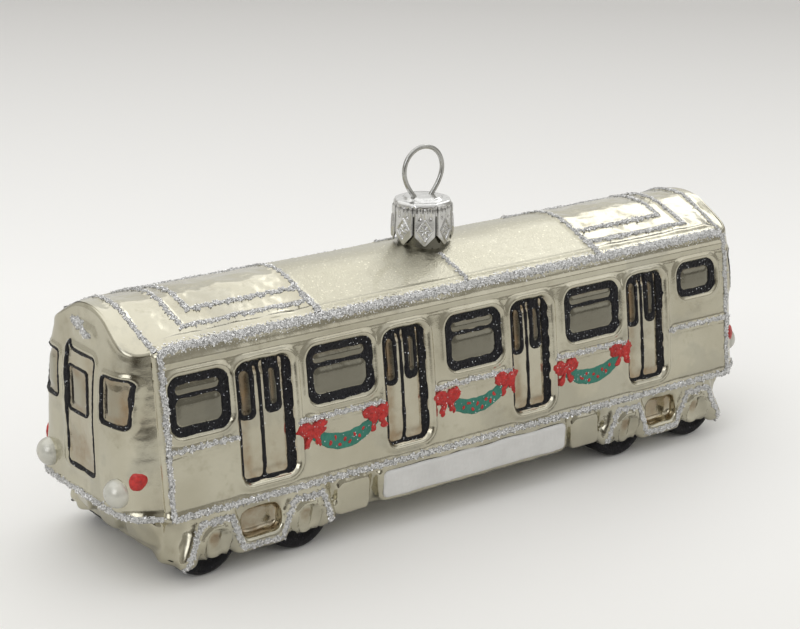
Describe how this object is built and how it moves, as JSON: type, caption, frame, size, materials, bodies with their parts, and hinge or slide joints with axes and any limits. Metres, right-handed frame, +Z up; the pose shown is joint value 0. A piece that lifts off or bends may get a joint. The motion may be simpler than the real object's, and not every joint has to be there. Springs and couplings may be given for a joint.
{
  "type": "metro car tree ornament",
  "caption": "Mould-blown glass tree ornament shaped as a metro car, with painted doors, windows and garlands, and a turning crown cap with a wire hanging loop.",
  "frame": {"origin": "centre of the bounding box's base, on the surface that the wheel bottoms stand on", "axes": "+X along the car from its front end to its rear end, +Y to the car's right side, +Z up"},
  "size_m": [0.1328, 0.036, 0.0589],
  "materials": {
    "silvered_glass": "blown glass silvered inside, champagne lacquer, soft mirror gloss",
    "silver_glitter": "silver glitter in clear glue",
    "black_glitter": "black glitter in clear glue",
    "green_enamel": "hand-painted green enamel with red dots",
    "white_enamel": "white enamel, left blank",
    "red_enamel": "red enamel dot",
    "pearl": "cream pearl bead",
    "silver_cap": "bright pressed metal",
    "steel_wire": "bare sprung wire"
  },
  "bodies": {
    "ornament": {"belt_glitter_left_2": "silver_glitter", "belt_glitter_left_3": "silver_glitter", "belt_glitter_left_4": "silver_glitter", "belt_glitter_right_2": "silver_glitter", "belt_glitter_right_3": "silver_glitter", "belt_glitter_right_4": "silver_glitter", "door_outline_left_1": "black_glitter", "door_outline_left_2": "black_glitter", "door_outline_left_3": "black_glitter", "door_outline_left_4": "black_glitter", "door_outline_right_1": "black_glitter", "door_outline_right_2": "black_glitter", "door_outline_right_3": "black_glitter", "door_outline_right_4": "black_glitter", "end_door_outline_front": "black_glitter", "end_door_outline_rear": "black_glitter", "end_window_outline_front_left": "black_glitter", "end_window_outline_front_right": "black_glitter", "end_window_outline_rear_left": "black_glitter", "end_window_outline_rear_right": "black_glitter", "garland_left_2": "green_enamel", "garland_left_3": "green_enamel", "garland_left_4": "green_enamel", "garland_right_2": "green_enamel", "garland_right_3": "green_enamel", "garland_right_4": "green_enamel", "glass_body": "silvered_glass", "pearl_lamp_front_left": "pearl", "pearl_lamp_front_right": "pearl", "pearl_lamp_rear_left": "pearl", "pearl_lamp_rear_right": "pearl", "red_lamp_front_left": "red_enamel", "red_lamp_front_right": "red_enamel", "red_lamp_rear_left": "red_enamel", "red_lamp_rear_right": "red_enamel", "sign_panel_left": "white_enamel", "sign_panel_right": "white_enamel", "silver_glitter_lines": "silver_glitter", "wheel_front_left_1": "black_glitter", "wheel_front_left_2": "black_glitter", "wheel_front_right_1": "black_glitter", "wheel_front_right_2": "black_glitter", "wheel_rear_left_1": "black_glitter", "wheel_rear_left_2": "black_glitter", "wheel_rear_right_1": "black_glitter", "wheel_rear_right_2": "black_glitter", "window_frame_left_1": "black_glitter", "window_frame_left_2": "black_glitter", "window_frame_left_3": "black_glitter", "window_frame_left_4": "black_glitter", "window_frame_left_5": "black_glitter", "window_frame_right_1": "black_glitter", "window_frame_right_2": "black_glitter", "window_frame_right_3": "black_glitter", "window_frame_right_4": "black_glitter", "window_frame_right_5": "black_glitter"},
    "hanger": {"crown_cap": "silver_cap", "hanger_wire": "steel_wire"}
  },
  "joints": [
    {"name": "cap_turn", "type": "hinge", "parent": "ornament", "child": "hanger", "pos_m": [0.001, 0, 0.0425], "axis": [0, 0, 1], "continuous": true}
  ]
}
